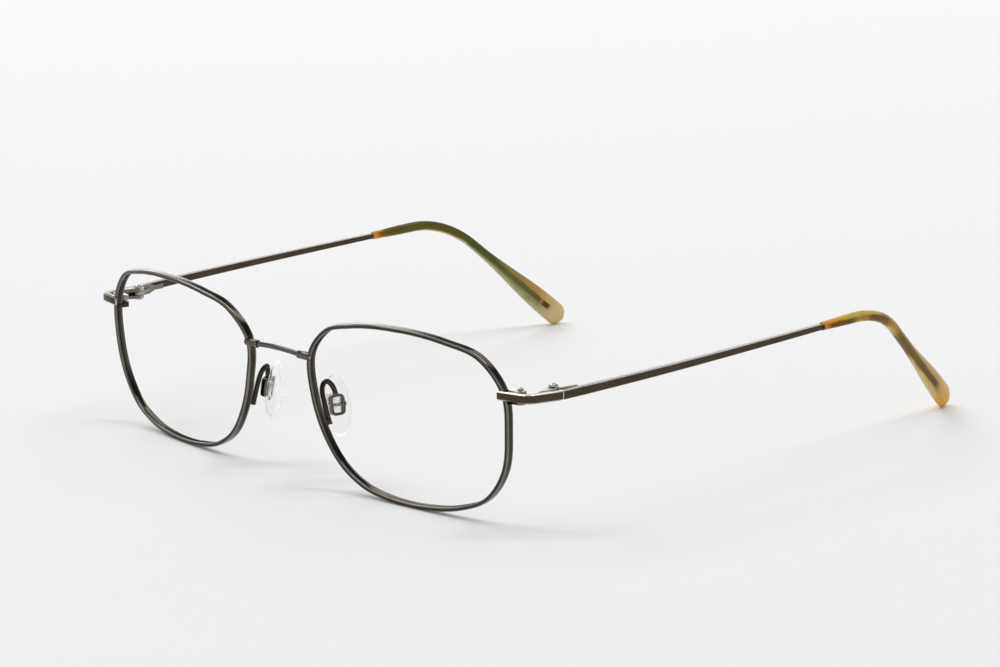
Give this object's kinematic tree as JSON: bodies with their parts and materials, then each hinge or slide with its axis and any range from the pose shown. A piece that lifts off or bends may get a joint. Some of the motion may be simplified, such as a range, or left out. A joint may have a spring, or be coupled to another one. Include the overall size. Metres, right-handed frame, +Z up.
{
  "type": "eyeglass frame",
  "caption": "Metal full-rim eyeglass frame without lenses: grooved eyewires, thin bridge, nose pads on wire arms and folding temples with translucent curved tips.",
  "frame": {"origin": "on the resting surface, under the middle of the bounding box", "axes": "+Z up, -Y the way the wearer looks, +X to the wearer's left"},
  "size_m": [0.1422, 0.147, 0.0373],
  "materials": {
    "gunmetal_wire": "dark gunmetal plating, glossy",
    "satin_bar": "dark brown-grey plating, satin",
    "steel_fitting": "bright grey steel, semi-gloss",
    "tip_acetate": "translucent marbled honey and olive plastic, polished",
    "pad_silicone": "clear soft silicone, smooth",
    "insert_plastic": "clear hard plastic"
  },
  "bodies": {
    "front": {"bridge_bar": "gunmetal_wire", "bridge_sleeve_left": "gunmetal_wire", "bridge_sleeve_right": "gunmetal_wire", "endpiece_left": "satin_bar", "endpiece_right": "satin_bar", "eyewire_left": "gunmetal_wire", "eyewire_right": "gunmetal_wire", "hinge_fork_left": "satin_bar", "hinge_fork_right": "satin_bar", "hinge_screw_left": "steel_fitting", "hinge_screw_right": "steel_fitting", "nose_pad_arm_left": "gunmetal_wire", "nose_pad_arm_right": "gunmetal_wire", "nose_pad_box_left": "gunmetal_wire", "nose_pad_box_right": "gunmetal_wire", "nose_pad_screw_left": "steel_fitting", "nose_pad_screw_right": "steel_fitting", "rim_lock_lower_left": "gunmetal_wire", "rim_lock_lower_right": "gunmetal_wire", "rim_lock_screw_left": "steel_fitting", "rim_lock_screw_right": "steel_fitting", "rim_lock_upper_left": "steel_fitting", "rim_lock_upper_right": "steel_fitting"},
    "left_temple": {"temple_left": "satin_bar", "temple_tip_left": "tip_acetate", "hinge_eye_left": "satin_bar"},
    "right_temple": {"temple_right": "satin_bar", "temple_tip_right": "tip_acetate", "hinge_eye_right": "satin_bar"},
    "left_nose_pad": {"nose_pad_left": "pad_silicone", "nose_pad_insert_left": "insert_plastic"},
    "right_nose_pad": {"nose_pad_right": "pad_silicone", "nose_pad_insert_right": "insert_plastic"}
  },
  "joints": [
    {"name": "left_temple_fold", "type": "hinge", "parent": "front", "child": "left_temple", "pos_m": [0.06511, -0.05777, 0.02673], "axis": [0, 0, 1], "range_deg": [0, 90]},
    {"name": "right_temple_fold", "type": "hinge", "parent": "front", "child": "right_temple", "pos_m": [-0.06511, -0.05777, 0.02673], "axis": [0, 0, -1], "range_deg": [0, 82]},
    {"name": "left_nose_pad_rock", "type": "hinge", "parent": "front", "child": "left_nose_pad", "pos_m": [0.01111, -0.06613, 0.01613], "axis": [0.3052, 0.9511, 0.0483], "range_deg": [-5, 5]},
    {"name": "right_nose_pad_rock", "type": "hinge", "parent": "front", "child": "right_nose_pad", "pos_m": [-0.01111, -0.06613, 0.01613], "axis": [-0.3052, 0.9511, 0.0483], "range_deg": [-5, 5]}
  ]
}
